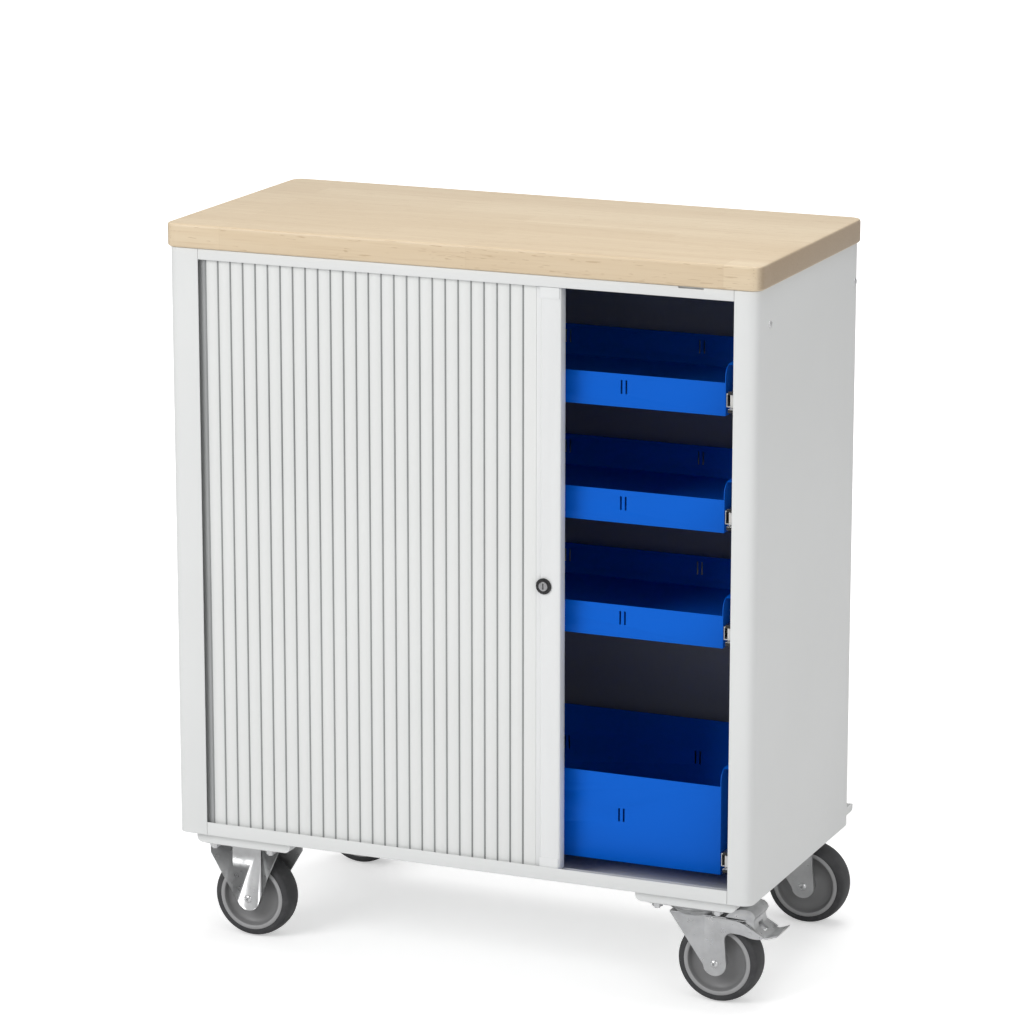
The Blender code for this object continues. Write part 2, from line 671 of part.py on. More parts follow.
def tray_mesh(front_height):
    """Open sheet tray about its front left bottom corner, with raised flanged sides."""
    width = TRAY_RIGHT_X - TRAY_LEFT_X
    side_height = front_height + TRAY_SIDE_RISE
    flange = TRAY_SIDE_FLANGE
    outer_left = [(-flange, side_height), (-flange, side_height - TRAY_SHEET),
                  (0.0, side_height - TRAY_SHEET), (0.0, 0.0)]
    outer_right = [(width - u, v) for u, v in outer_left[::-1]]
    inner = [(width - TRAY_SHEET, side_height), (width - TRAY_SHEET, TRAY_SHEET),
             (TRAY_SHEET, TRAY_SHEET), (TRAY_SHEET, side_height)]
    tray = prism(outer_left + outer_right + inner, "Y", 0.0, TRAY_DEPTH)
    half_sheet = TRAY_SHEET / 2
    for wall_y in (0.0, TRAY_DEPTH - TRAY_SHEET):
        wall = box((half_sheet, wall_y, half_sheet),
                   (width - half_sheet, wall_y + TRAY_SHEET, front_height))
        tray = joined(tray, wall)
    low = side_height - TRAY_SIDE_ROUND
    for corner_y, side in ((0.0, 1.0), (TRAY_DEPTH, -1.0)):
        centre = (corner_y + side * TRAY_SIDE_ROUND, low)
        start = 180 if side > 0 else 0
        outline = arc(centre, TRAY_SIDE_ROUND, start, 90, 5)
        over = corner_y - side * CUT_OVERRUN
        outline += [(centre[0], side_height + CUT_OVERRUN), (over, side_height + CUT_OVERRUN), (over, low)]
        corner = prism(outline, "X", -flange - CUT_OVERRUN, width + flange + CUT_OVERRUN)
        tray = cut(tray, corner)
    return tray


def runner_outlines(wall_x, tray_x):
    """Nested sections of a cabinet runner and a tray runner, from wall to tray."""
    toward = 1.0 if tray_x > wall_x else -1.0
    height = RUNNER_HEIGHT
    sheet = RUNNER_SHEET
    web = wall_x + toward * FIT_GAP
    lip = web + toward * RUNNER_LIP
    fixed = [(web, 0.0), (lip, 0.0), (lip, sheet), (web + toward * sheet, sheet),
             (web + toward * sheet, height - sheet), (lip, height - sheet), (lip, height), (web, height)]
    low = sheet + RUN_GAP
    high = height - low
    near = tray_x - toward * FIT_GAP
    tip = web + toward * (sheet + RUNNER_SHEET)
    moving = [(near, low), (tip, low), (tip, low + sheet), (near - toward * sheet, low + sheet),
              (near - toward * sheet, high - sheet), (tip, high - sheet), (tip, high), (near, high)]
    return fixed, moving


def trays(cart):
    sides = (("left", INNER_LEFT_X, TRAY_LEFT_X), ("right", INNER_RIGHT_X, TRAY_RIGHT_X))
    for name, bottom, front_height in TRAYS:
        low = BODY_BASE + bottom
        origin = Vector((TRAY_LEFT_X, TRAY_FRONT_Y, low))
        slide = pivot("tray_" + name + "_slide", cart, origin)
        piece("tray_" + name, tray_mesh(front_height), "blue_enamel", slide, 30)
        for side, wall_x, tray_x in sides:
            fixed, moving = runner_outlines(wall_x, tray_x)
            outer = prism(fixed, "Y", INNER_FRONT_Y, RUNNER_BACK_Y)
            outer = moved(outer, (0.0, 0.0, low + RUNNER_RAISE))
            piece("cabinet_runner_" + name + "_" + side, outer, "zinc", cart)
            inner = prism(moving, "Y", TRAY_FRONT_Y + TRAY_SHEET, RUNNER_BACK_Y)
            inner = moved(inner, Vector((0.0, 0.0, low + RUNNER_RAISE)) - origin)
            piece("tray_runner_" + name + "_" + side, inner, "zinc", slide)


# Casters

def caster_channel(name, centre_x, parent):
    """Pressed pan under the cabinet, with rounded lower edges and closed ends."""
    def outline(inset):
        half = CHANNEL_WIDTH / 2 - inset
        radius = CHANNEL_CORNER - inset
        low = CASTER_HEIGHT + FIT_GAP + inset
        high = BODY_BASE - FIT_GAP + (CUT_OVERRUN if inset else 0.0)
        points = [(centre_x + half, high), (centre_x - half, high)]
        points += arc((centre_x - half + radius, low + radius), radius, 180, 270, 4)
        points += arc((centre_x + half - radius, low + radius), radius, 270, 360, 4)
        return points
    pan = prism(outline(0.0), "Y", CHANNEL_FRONT_Y, CHANNEL_REAR_Y)
    hollow = prism(outline(CHANNEL_SHEET), "Y", CHANNEL_FRONT_Y + CHANNEL_SHEET,
                   CHANNEL_REAR_Y - CHANNEL_SHEET)
    return piece(name, cut(pan, hollow), "white_enamel", parent, 30)


def mounting_plate():
    """Square caster plate with four oval slots, its top at the caster's height."""
    half = PLATE_SIZE / 2
    high = CASTER_HEIGHT
    low = high - PLATE_SHEET
    plate = prism(rounded_rectangle((-half, -half), (half, half), PLATE_CORNER, 3), "Z", low, high)
    reach = half - PLATE_SLOT_INSET
    radius = PLATE_SLOT_WIDTH / 2
    straight = (PLATE_SLOT_LENGTH - PLATE_SLOT_WIDTH) / 2
    for x in (-reach, reach):
        for y in (-reach, reach):
            slot = arc((x + straight, y), radius, -90, 90, 4) + arc((x - straight, y), radius, 90, 270, 4)
            plate = cut(plate, prism(slot, "Z", low - CUT_OVERRUN, high + CUT_OVERRUN))
    return plate


def axle_hole(x, radius, z):
    reach = FORK_WIDTH / 2 + CUT_OVERRUN
    profile = [(0.0, -reach), (radius, -reach), (radius, reach), (0.0, reach)]
    return moved(turned(profile, "Y", PIN_STEPS, closed=False), (x, 0.0, z))


def side_plates(outline, body):
    """Join both side plates of a fork to its body."""
    for side in (-1.0, 1.0):
        near = side * (FORK_WIDTH / 2 - FORK_SHEET)
        far = side * FORK_WIDTH / 2
        body = joined(body, prism(outline, "Y", min(near, far), max(near, far)))
    return body


def side_ribs(centres, low, high, body):
    """Pressed ribs down the outside of both side plates."""
    half = FORK_RIB_WIDTH / 2
    for x in centres:
        for side in (-1.0, 1.0):
            inner = side * (FORK_WIDTH / 2 - FORK_SHEET / 2)
            outer = side * (FORK_WIDTH / 2 + FORK_RIB_RAISE)
            rib = box((x - half, min(inner, outer), low), (x + half, max(inner, outer), high))
            body = joined(body, rib)
    return body


def fixed_fork():
    """One-piece bracket of a fixed caster: plate and two V-shaped sides."""
    foot = arc((0.0, AXLE_HEIGHT), FORK_FOOT_RADIUS, 205, 335, 6)
    top = CASTER_HEIGHT - PLATE_SHEET / 2
    half = FIXED_FORK_HALF_WIDTH
    shoulder = CASTER_HEIGHT - PLATE_SHEET - HEAD_CUP_HEIGHT
    outline = [(half, top), (-half, top), (-half, shoulder)] + foot + [(half, shoulder)]
    fork = side_plates(outline, mounting_plate())
    rib_low = AXLE_HEIGHT + FORK_FOOT_RADIUS
    rib_high = shoulder
    fork = side_ribs((-half / 2, half / 2), rib_low + FORK_FOOT_RADIUS, rib_high, fork)
    fork = side_ribs((0.0,), rib_low, rib_high, fork)
    return cut(fork, axle_hole(0.0, AXLE_RADIUS + FIT_GAP, AXLE_HEIGHT))


def head_levels():
    """Heights of the swivel head: under the plate, the race, and the fork's crown."""
    plate_low = CASTER_HEIGHT - PLATE_SHEET
    race = plate_low - HEAD_CUP_HEIGHT
    crown_top = race - FIT_GAP - HEAD_DISH_HEIGHT
    return plate_low, race, crown_top


def swivel_plate():
    """Top plate with the upper cup of the ball race and the riveted kingpin."""
    plate_low, race, crown_top = head_levels()
    crown_low = crown_top - FORK_SHEET
    inside = plate_low + PLATE_SHEET / 2
    head_high = crown_low - FIT_GAP
    profile = [(0.0, inside), (HEAD_RADIUS - HEAD_TAPER, inside), (HEAD_RADIUS, race), (KINGPIN_RADIUS, race),
               (KINGPIN_RADIUS, head_high), (KINGPIN_HEAD_RADIUS, head_high),
               (KINGPIN_HEAD_RADIUS, head_high - KINGPIN_HEAD_HEIGHT / 2),
               (KINGPIN_HEAD_RADIUS - HEAD_TAPER / 2, head_high - KINGPIN_HEAD_HEIGHT),
               (0.0, head_high - KINGPIN_HEAD_HEIGHT)]
    return joined(mounting_plate(), turned(profile, "Z", WHEEL_STEPS, closed=False))


def swivel_fork(has_brake):
    """Fork about the swivel axis: dish, crown and two trailing side plates."""
    _, race, crown_top = head_levels()
    dish_top = race - FIT_GAP
    crown_low = crown_top - FORK_SHEET
    bore = KINGPIN_RADIUS + FIT_GAP
    half = FORK_WIDTH / 2
    crown_back = SWIVEL_TRAIL + FORK_FOOT_RADIUS - FORK_SHEET
    crown = box((-FORK_NOSE, -half, crown_low), (crown_back, half, crown_top))
    inside = crown_low + FORK_SHEET / 2
    dish = turned([(bore, dish_top), (HEAD_RADIUS, dish_top), (FORK_NOSE, inside), (bore, inside)],
                  "Z", WHEEL_STEPS)
    core = moved(turned([(0.0, -CUT_OVERRUN), (bore, -CUT_OVERRUN), (bore, CUT_OVERRUN), (0.0, CUT_OVERRUN)],
                        "Z", WHEEL_STEPS, closed=False), (0.0, 0.0, crown_low))
    fork = joined(cut(crown, core), dish)

    foot = arc((SWIVEL_TRAIL, AXLE_HEIGHT), FORK_FOOT_RADIUS, 205, 350, 6)
    top = crown_low + FORK_SHEET / 2
    rear_x = SWIVEL_TRAIL + FORK_FOOT_RADIUS
    outline = [(-FORK_NOSE, top)] + foot
    if has_brake:
        pivot_z = AXLE_HEIGHT + BRAKE_PIVOT_RISE
        ear = FORK_FOOT_RADIUS / 2
        outline += [(rear_x - FORK_SHEET, pivot_z - 2 * ear), (rear_x + ear, pivot_z - ear),
                    (FORK_TAIL - ear, pivot_z - ear), (FORK_TAIL, pivot_z - ear / 2),
                    (BRAKE_PIVOT_X - ear, top)]
    else:
        outline += [(rear_x + FORK_SHEET, AXLE_HEIGHT + 2 * FORK_FOOT_RADIUS), (crown_back, top)]
    fork = side_plates(outline, fork)
    rib_low = AXLE_HEIGHT + FORK_FOOT_RADIUS
    fork = side_ribs((SWIVEL_TRAIL / 2, SWIVEL_TRAIL), rib_low, crown_low, fork)
    if has_brake:
        hole = axle_hole(BRAKE_PIVOT_X, PEDAL_PIN_RADIUS + FIT_GAP, pivot_z)
        fork = cut(fork, hole)
    return cut(fork, axle_hole(SWIVEL_TRAIL, AXLE_RADIUS + FIT_GAP, AXLE_HEIGHT))


def brake_pedal():
    """Bent pedal with two cheeks on its pin, about the pin's axis."""
    reach = PEDAL_REACH - BRAKE_PIVOT_X
    rise = PEDAL_RISE - BRAKE_PIVOT_RISE
    path_shares = ((1.0, 0.34), (0.72, -0.02), (0.34, 0.42), (-0.02, 0.88), (-0.36, 0.88))
    path = [(u * reach, v * rise) for u, v in path_shares]
    half = PEDAL_WIDTH / 2
    pedal = prism(sheet_outline(path, PEDAL_SHEET), "Y", -half, half)
    cheek_shares = ((-0.30, 0.92), (0.0, 0.92), (0.36, 0.46), (0.24, -0.20), (-0.10, -0.20), (-0.24, 0.20))
    cheek = [(u * reach, v * rise) for u, v in cheek_shares]
    for side in (-1.0, 1.0):
        near = side * (half - PEDAL_SHEET)
        far = side * (half - FIT_GAP)
        pedal = joined(pedal, prism(cheek, "Y", min(near, far), max(near, far)))
    pin_reach = FORK_WIDTH / 2 + FORK_RIB_RAISE
    pin = turned([(0.0, -pin_reach), (PEDAL_PIN_RADIUS, -pin_reach), (PEDAL_PIN_RADIUS, pin_reach),
                  (0.0, pin_reach)], "Y", PIN_STEPS, closed=False)
    return joined(pedal, pin)


def tyre():
    half = WHEEL_WIDTH / 2
    shoulder = TREAD_SHOULDER
    inner = RIM_RADIUS + FIT_GAP
    profile = [(inner, -half), (WHEEL_RADIUS - shoulder, -half),
               (WHEEL_RADIUS - shoulder / 3, -half + shoulder / 3), (WHEEL_RADIUS, -half + shoulder),
               (WHEEL_RADIUS, half - shoulder), (WHEEL_RADIUS - shoulder / 3, half - shoulder / 3),
               (WHEEL_RADIUS - shoulder, half), (inner, half)]
    return turned(profile, "Y", WHEEL_STEPS)


def wheel_core():
    """Rim, web and hub of a wheel, turned about its axle."""
    bore = AXLE_RADIUS + FIT_GAP
    hub_half = FORK_WIDTH / 2 - FORK_SHEET - RUN_GAP
    rim_half = WHEEL_WIDTH / 2
    rim_inner = RIM_RADIUS - RIM_WALL
    half_profile = [(HUB_RADIUS, hub_half), (HUB_RADIUS, WEB_HALF_WIDTH), (rim_inner, WEB_HALF_WIDTH),
                    (rim_inner, rim_half), (RIM_RADIUS, rim_half)]
    mirrored = [(radius, -height) for radius, height in half_profile[::-1]]
    return turned([(bore, -hub_half), (bore, hub_half)] + half_profile + mirrored, "Y", WHEEL_STEPS)


def axle():
    """Bolt through the fork, with its head and nut outside the side plates."""
    seat = FORK_WIDTH / 2 + FIT_GAP
    tip = seat + AXLE_HEAD_HEIGHT
    half_profile = [(0.0, tip), (AXLE_HEAD_RADIUS, tip), (AXLE_HEAD_RADIUS, seat), (AXLE_RADIUS, seat)]
    mirrored = [(radius, -height) for radius, height in half_profile[::-1]]
    return turned(half_profile + mirrored, "Y", PIN_STEPS, closed=False)


def wheel(prefix, carrier, axle_place):
    """Axle on its carrier, and the turning core and tyre."""
    bolt = piece(prefix + "_axle", axle(), "zinc", carrier, 30)
    bolt.location = axle_place
    spin = pivot(prefix + "_wheel_axis", carrier, axle_place)
    piece(prefix + "_wheel_core", wheel_core(), "hub_grey", spin, 30)
    piece(prefix + "_tyre", tyre(), "tyre_grey", spin, 40)


def fixed_caster(prefix, y, cart):
    bracket = piece(prefix + "_fork", fixed_fork(), "zinc", cart, 30)
    bracket.location = (FIXED_CASTER_X, y, 0.0)
    wheel(prefix, cart, (FIXED_CASTER_X, y, AXLE_HEIGHT))


def swivel_caster(prefix, y, has_brake, cart):
    plate = piece(prefix + "_swivel_plate", swivel_plate(), "zinc", cart, 30)
    plate.location = (SWIVEL_CASTER_X, y, 0.0)
    swivel = pivot(prefix + "_swivel_axis", cart, (SWIVEL_CASTER_X, y, 0.0))
    piece(prefix + "_fork", swivel_fork(has_brake), "zinc", swivel, 30)
    if has_brake:
        pin_place = (BRAKE_PIVOT_X, 0.0, AXLE_HEIGHT + BRAKE_PIVOT_RISE)
        pedal_axis = pivot(prefix + "_pedal_axis", swivel, pin_place)
        piece(prefix + "_brake_pedal", brake_pedal(), "zinc", pedal_axis, 30)
    wheel(prefix, swivel, (SWIVEL_TRAIL, 0.0, AXLE_HEIGHT))


def main():
    clear_scene()
    cart = pivot("cart", None, (CART_X, CART_Y, 0.0))
    side_panel("side_panel_left", 1.0, LEFT_POST_WIDTH, 0.0, cart)
    side_panel("side_panel_right", -1.0, RIGHT_POST_WIDTH, RIGHT_POST_RETURN, cart)
    flanged_plate("floor_panel", BODY_BASE, SILL_HEIGHT - SHEET, cart)
    flanged_plate("top_panel", BODY_TOP - SHEET, SHEET - HEADER_HEIGHT, cart)
    back_panel(cart)
    worktop(cart)
    inner_walls(cart)
    shutter_tracks(cart)
    shutter(cart)
    trays(cart)
    caster_channel("caster_channel_left", -CHANNEL_X, cart)
    caster_channel("caster_channel_right", CHANNEL_X, cart)
    fixed_caster("caster_front_left", CASTER_FRONT_Y, cart)
    fixed_caster("caster_rear_left", CASTER_REAR_Y, cart)
    swivel_caster("caster_front_right", CASTER_FRONT_Y, True, cart)
    swivel_caster("caster_rear_right", CASTER_REAR_Y, False, cart)


main()
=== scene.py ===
"""Looks of the tool cart: finishes and detailed shapes around the fixed frame.

Everything is in metres in the frame's own axes: X to the right, Y to the back, Z up.
"""

import json
import math

import bmesh
import bpy
from mathutils import Matrix, Vector


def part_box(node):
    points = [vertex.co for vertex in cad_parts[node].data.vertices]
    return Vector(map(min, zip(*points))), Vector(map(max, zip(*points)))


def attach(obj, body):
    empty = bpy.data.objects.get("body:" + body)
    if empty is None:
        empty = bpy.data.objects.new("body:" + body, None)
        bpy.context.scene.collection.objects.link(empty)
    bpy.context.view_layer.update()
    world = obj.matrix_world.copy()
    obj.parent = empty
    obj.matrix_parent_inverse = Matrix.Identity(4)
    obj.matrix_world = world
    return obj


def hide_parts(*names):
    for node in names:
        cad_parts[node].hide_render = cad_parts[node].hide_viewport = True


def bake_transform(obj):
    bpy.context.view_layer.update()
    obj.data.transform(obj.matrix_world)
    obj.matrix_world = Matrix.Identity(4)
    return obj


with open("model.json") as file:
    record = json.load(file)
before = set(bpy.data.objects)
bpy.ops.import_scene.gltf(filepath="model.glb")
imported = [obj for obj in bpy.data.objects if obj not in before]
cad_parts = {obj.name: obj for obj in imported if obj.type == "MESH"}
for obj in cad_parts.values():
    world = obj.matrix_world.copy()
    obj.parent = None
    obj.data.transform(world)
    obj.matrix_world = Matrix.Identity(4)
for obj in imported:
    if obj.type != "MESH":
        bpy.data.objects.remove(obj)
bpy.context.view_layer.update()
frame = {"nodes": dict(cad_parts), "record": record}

NODES = frame["nodes"]
BODY_OF = {node: body for body, members in frame["record"]["behaviour"]["bodies"].items() for node in members}
JOIN_DISTANCE = 0.00001
FLAT_ANGLE = math.radians(1.0)


# Material helpers

class Shade:
    """A Principled material with short calls for the nodes that it is built from."""

    def __init__(self, name, colour, roughness, metallic=0.0):
        self.material = bpy.data.materials.new(name)
        self.material.use_nodes = True
        self.nodes = self.material.node_tree.nodes
        self.links = self.material.node_tree.links
        self.shader = self.nodes["Principled BSDF"]
        self.shader.inputs["Base Color"].default_value = (*colour, 1.0)
        self.shader.inputs["Roughness"].default_value = roughness
        self.shader.inputs["Metallic"].default_value = metallic
        self.material.diffuse_color = (*colour, 1.0)
        self.place = self.nodes.new("ShaderNodeTexCoord").outputs["Object"]

    def node(self, kind, inputs=None, **settings):
        made = self.nodes.new(kind)
        for key, value in settings.items():
            setattr(made, key, value)
        for key, value in (inputs or {}).items():
            if isinstance(value, bpy.types.NodeSocket):
                self.links.new(value, made.inputs[key])
            else:
                made.inputs[key].default_value = value
        return made

    def stretched(self, scale):
        return self.node("ShaderNodeMapping", {"Vector": self.place, "Scale": scale}).outputs["Vector"]

    def noise(self, scale, detail=2.0, vector=None, roughness=0.5):
        inputs = {"Vector": vector or self.place, "Scale": scale, "Detail": detail, "Roughness": roughness}
        return self.node("ShaderNodeTexNoise", inputs).outputs["Fac"]

    def scaled(self, value, low, high, from_low=0.0, from_high=1.0):
        inputs = {"Value": value, "From Min": from_low, "From Max": from_high, "To Min": low, "To Max": high}
        return self.node("ShaderNodeMapRange", inputs).outputs["Result"]

    def blend(self, factor, first, second):
        made = self.node("ShaderNodeMix", data_type="RGBA")
        for key, value in ((0, factor), (6, first), (7, second)):
            if isinstance(value, bpy.types.NodeSocket):
                self.links.new(value, made.inputs[key])
            else:
                made.inputs[key].default_value = (*value, 1.0)
        return made.outputs[2]

    def bump(self, height, strength, distance):
        made = self.node("ShaderNodeBump", {"Height": height, "Strength": strength, "Distance": distance})
        self.links.new(made.outputs["Normal"], self.shader.inputs["Normal"])

    def set(self, name, value):
        if isinstance(value, bpy.types.NodeSocket):
            self.links.new(value, self.shader.inputs[name])
        else:
            self.shader.inputs[name].default_value = value


def enamel(name, colour, shade_colour, roughness, gloss=0.45):
    """Powder coat: faint cloudy tone, fine orange peel and uneven gloss."""
    shade = Shade(name, colour, roughness)
    cloud = shade.noise(3.0, 3.0)
    shade.set("Base Color", shade.blend(shade.scaled(cloud, 0.0, 1.0, 0.35, 0.65), colour, shade_colour))
    shade.set("Roughness", shade.scaled(shade.noise(60.0), roughness - 0.04, roughness + 0.06))
    peel = shade.noise(420.0, 3.0, roughness=0.6)
    shade.bump(peel, 0.12, 0.0004)
    shade.set("Specular IOR Level", gloss)
    return shade.material


def beech():
    """Edge-glued beech staves along X, with fine grain, flecks and darker end grain."""
    light = (0.80, 0.665, 0.475)
    mid = (0.735, 0.59, 0.405)
    dark = (0.62, 0.465, 0.295)
    shade = Shade("beech", light, 0.42)
    wave = shade.noise(2.2, 2.0, shade.stretched((1.0, 3.0, 3.0)))
    sideways = shade.scaled(wave, -0.012, 0.012)
    offset = shade.node("ShaderNodeCombineXYZ", {"Y": sideways, "Z": sideways}).outputs["Vector"]
    bent = shade.node("ShaderNodeVectorMath", {0: shade.place, 1: offset}, operation="ADD").outputs["Vector"]
    along = shade.node("ShaderNodeMapping", {"Vector": bent, "Scale": (1.6, 46.0, 46.0)}).outputs["Vector"]
    rings = shade.noise(1.0, 4.0, along, 0.55)
    fine = shade.noise(1.0, 3.0, shade.stretched((14.0, 420.0, 420.0)), 0.6)
    staves = shade.node("ShaderNodeTexBrick", {
        "Vector": shade.place, "Color1": (0.0, 0.0, 0.0, 1.0), "Color2": (1.0, 1.0, 1.0, 1.0),
        "Mortar": (0.5, 0.5, 0.5, 1.0), "Scale": 1.0, "Mortar Size": 0.00012, "Mortar Smooth": 0.6,
        "Bias": 0.0, "Brick Width": 0.31, "Row Height": 0.0435})
    staves.offset = 0.37
    staves.offset_frequency = 2
    tone = shade.blend(shade.scaled(rings, 0.0, 1.0, 0.36, 0.66), light, mid)
    tone = shade.blend(shade.scaled(fine, 0.0, 0.45, 0.5, 0.75), tone, dark)
    stave_tone = shade.scaled(staves.outputs["Color"], 0.0, 0.34)
    tone = shade.blend(stave_tone, tone, dark)
    glue = shade.scaled(staves.outputs["Fac"], 0.0, 0.35)
    tone = shade.blend(glue, tone, (0.42, 0.29, 0.17))
    flecks = shade.noise(1.0, 1.0, shade.stretched((55.0, 900.0, 520.0)), 0.5)
    tone = shade.blend(shade.scaled(flecks, 0.0, 0.55, 0.66, 0.72), tone, (0.50, 0.35, 0.20))
    normal = shade.node("ShaderNodeSeparateXYZ", {0: shade.node("ShaderNodeTexCoord").outputs["Normal"]})
    across = shade.node("ShaderNodeMath", {0: normal.outputs["X"]}, operation="ABSOLUTE").outputs["Value"]
    pores = shade.noise(700.0, 2.0)
    pore_share = shade.scaled(pores, 0.0, 0.5, 0.4, 0.7)
    end_tone = shade.blend(pore_share, (0.42, 0.315, 0.215), (0.29, 0.205, 0.125))
    tone = shade.blend(shade.scaled(across, 0.0, 0.85, 0.55, 0.95), tone, end_tone)
    shade.set("Base Color", tone)
    shade.set("Roughness", shade.scaled(fine, 0.36, 0.5))
    shade.bump(fine, 0.10, 0.0005)
    shade.set("Coat Weight", 0.15)
    shade.set("Coat Roughness", 0.3)
    return shade.material


def zinc(name, colour, roughness):
    """Zinc-plated pressed steel: cloudy plating, fine drawing marks and soft gloss."""
    shade = Shade(name, colour, roughness, 0.9)
    cloud = shade.noise(26.0, 4.0, roughness=0.62)
    darker = tuple(value * 0.74 for value in colour)
    shade.set("Base Color", shade.blend(shade.scaled(cloud, 0.0, 1.0, 0.3, 0.7), colour, darker))
    shade.set("Roughness", shade.scaled(shade.noise(150.0, 3.0), roughness - 0.1, roughness + 0.12, 0.3, 0.7))
    marks = shade.noise(1.0, 3.0, shade.stretched((60.0, 300.0, 1500.0)))
    shade.bump(marks, 0.08, 0.0003)
    return shade.material


def plastic(name, colour, roughness, grain=500.0, strength=0.15):
    """Moulded plastic with a fine eroded grain and faint tone changes."""
    shade = Shade(name, colour, roughness)
    cloud = shade.noise(18.0, 3.0)
    darker = tuple(value * 0.86 for value in colour)
    shade.set("Base Color", shade.blend(shade.scaled(cloud, 0.0, 1.0, 0.3, 0.7), colour, darker))
    shade.set("Roughness", shade.scaled(shade.noise(90.0), roughness - 0.05, roughness + 0.06))
    shade.bump(shade.noise(grain, 3.0), strength, 0.0003)
    return shade.material


def tyre_tread():
    """Dark grey solid tyre: fine mould grain, dusty scuffs on its tread."""
    shade = Shade("tyre_tread", (0.047, 0.047, 0.05), 0.6)
    scuff = shade.noise(38.0, 5.0, roughness=0.7)
    dust = shade.scaled(scuff, 0.0, 1.0, 0.45, 0.75)
    shade.set("Base Color", shade.blend(dust, (0.042, 0.042, 0.045), (0.075, 0.075, 0.077)))
    shade.set("Roughness", shade.scaled(scuff, 0.5, 0.75))
    shade.bump(shade.noise(600.0, 4.0), 0.25, 0.0004)
    return shade.material


WHITE = enamel("white_enamel", (0.79, 0.80, 0.795), (0.765, 0.775, 0.77), 0.34)
# Dark grey for the inner walls: painted shade, the inside of the cabinet darkened to stand for the shade that
# falls there
INSIDE_SHADE = enamel("inside_shade_enamel", (0.36, 0.37, 0.38), (0.32, 0.33, 0.34), 0.45)
SLATS = enamel("slat_enamel", (0.82, 0.83, 0.82), (0.80, 0.81, 0.80), 0.42)
# Darker grey for the groove faces between slats: painted shade in the grooves
GROOVE_SHADE = enamel("groove_shade_enamel", (0.42, 0.43, 0.43), (0.34, 0.35, 0.35), 0.5)
RAIL = enamel("rail_enamel", (0.83, 0.84, 0.84), (0.81, 0.82, 0.82), 0.32)
BLUE = enamel("blue_enamel", (0.0005, 0.125, 0.66), (0.0004, 0.115, 0.62), 0.4, 0.12)
BEECH = beech()
ZINC = zinc("zinc", (0.66, 0.665, 0.67), 0.36)
BRIGHT_ZINC = zinc("bright_zinc", (0.78, 0.785, 0.79), 0.24)
TRACK = plastic("track_plastic", (0.60, 0.61, 0.62), 0.45)
CORE = plastic("core_plastic", (0.235, 0.235, 0.238), 0.46)
RIM_RING = plastic("rim_ring_plastic", (0.39, 0.39, 0.395), 0.5)
# Black plastic for the lock barrel; also used for the dark strips that paint shade at the runner lips
BLACK = plastic("black_plastic_and_painted_shade", (0.012, 0.012, 0.013), 0.28)
WHITE_PLASTIC = plastic("white_plastic", (0.78, 0.77, 0.74), 0.4)
LOCK_STEEL = zinc("lock_steel", (0.45, 0.45, 0.46), 0.3)
TYRE = tyre_tread()


# Mesh helpers

def finished(name, bm, materials, body, smooth_angle=35.0, replaced=()):
    """Turn a bmesh into a piece that rides on a body."""
    mesh = bpy.data.meshes.new(name)
    bmesh.ops.recalc_face_normals(bm, faces=bm.faces)
    bm.to_mesh(mesh)
    bm.free()
    item = bpy.data.objects.new(name, mesh)
    bpy.context.scene.collection.objects.link(item)
    for material in materials:
        mesh.materials.append(material)
    mesh.shade_smooth()
    mesh.set_sharp_from_angle(angle=math.radians(smooth_angle))
    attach(item, body)
    if replaced:
        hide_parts(*replaced)


def node_piece(node, bm, materials, smooth_angle=35.0):
    """Piece that takes a node's place on its body."""
    finished(node + "_finish", bm, materials, BODY_OF[node], smooth_angle, (node,))


def cleaned(bm):
    """Corners joined and flat faces made whole."""
    bmesh.ops.remove_doubles(bm, verts=bm.verts, dist=JOIN_DISTANCE)
    bmesh.ops.dissolve_limit(bm, angle_limit=FLAT_ANGLE, verts=bm.verts, edges=bm.edges)
    return bm


def from_node(node):
    """The node's solid as a clean bmesh."""
    bm = bmesh.new()
    bm.from_mesh(NODES[node].data)
    return cleaned(bm)


def bevelled(bm, width, segments, limit):
    """Ease the edges that are sharper than limit degrees."""
    sharp = [edge for edge in bm.edges
             if len(edge.link_faces) == 2 and edge.calc_face_angle() > math.radians(limit)]
    bmesh.ops.bevel(bm, geom=sharp, offset=width, segments=segments, profile=0.5,
                    affect="EDGES", clamp_overlap=True)
    return bm


def soften(bm, width, segments=2, limit=35.0):
    return bevelled(cleaned(bm), width, segments, limit)


def eased(node, material, width=0.0004, segments=2, limit=35.0, smooth_angle=35.0):
    """The node's own shape with its sharp edges eased, as sheet and mouldings have them."""
    node_piece(node, bevelled(from_node(node), width, segments, limit), [material], smooth_angle)


def turned(profile, steps, centre, marks=()):
    """Closed (radius, along) profile spun about the Y axis through centre.

    Each mark is a low radius, a high radius and the material index of the faces between them.
    """
    bm = bmesh.new()
    points = [bm.verts.new((radius, 0.0, along)) for radius, along in profile]
    edges = [bm.edges.new((points[i - 1], points[i])) for i in range(len(points))]
    bmesh.ops.spin(bm, geom=points + edges, cent=(0.0, 0.0, 0.0), axis=(0.0, 0.0, 1.0),
                   angle=math.tau, steps=steps, use_merge=True)
    bmesh.ops.remove_doubles(bm, verts=bm.verts, dist=JOIN_DISTANCE)
    for face in bm.faces:
        middle = face.calc_center_median()
        radius = math.hypot(middle.x, middle.y)
        for low, high, index in marks:
            if low <= radius <= high:
                face.material_index = index
    bmesh.ops.rotate(bm, verts=bm.verts, cent=(0.0, 0.0, 0.0), matrix=Matrix.Rotation(-math.pi / 2, 3, "X"))
    bmesh.ops.translate(bm, verts=bm.verts, vec=centre)
    return bm


def middle_of(node):
    low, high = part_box(node)
    return (Vector(low) + Vector(high)) / 2


